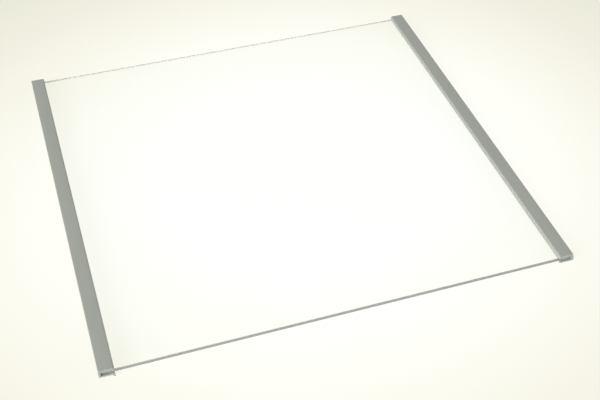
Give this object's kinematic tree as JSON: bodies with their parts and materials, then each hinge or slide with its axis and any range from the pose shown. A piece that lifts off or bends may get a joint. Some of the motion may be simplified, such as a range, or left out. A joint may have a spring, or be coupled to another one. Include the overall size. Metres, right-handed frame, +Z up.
{
  "type": "refrigerator shelf",
  "caption": "Flat clear glass refrigerator shelf with grey plastic channel trims along its sides, which rest on the cabinet's side rails.",
  "frame": {"origin": "under the middle of the shelf, at the bottom centre of its box, level with the tip of the left trim's lip", "axes": "+X from the lipped left trim to the plain right trim, +Y along the trims to the far bare glass edge, +Z up out of the glass"},
  "size_m": [0.4724, 0.445, 0.012],
  "materials": {
    "glass": "clear polished faces, satin ground edges",
    "trim": "grey satin extruded plastic"
  },
  "bodies": {
    "root": {"glass_panel": "glass", "left_trim": "trim", "right_trim": "trim"}
  },
  "joints": []
}
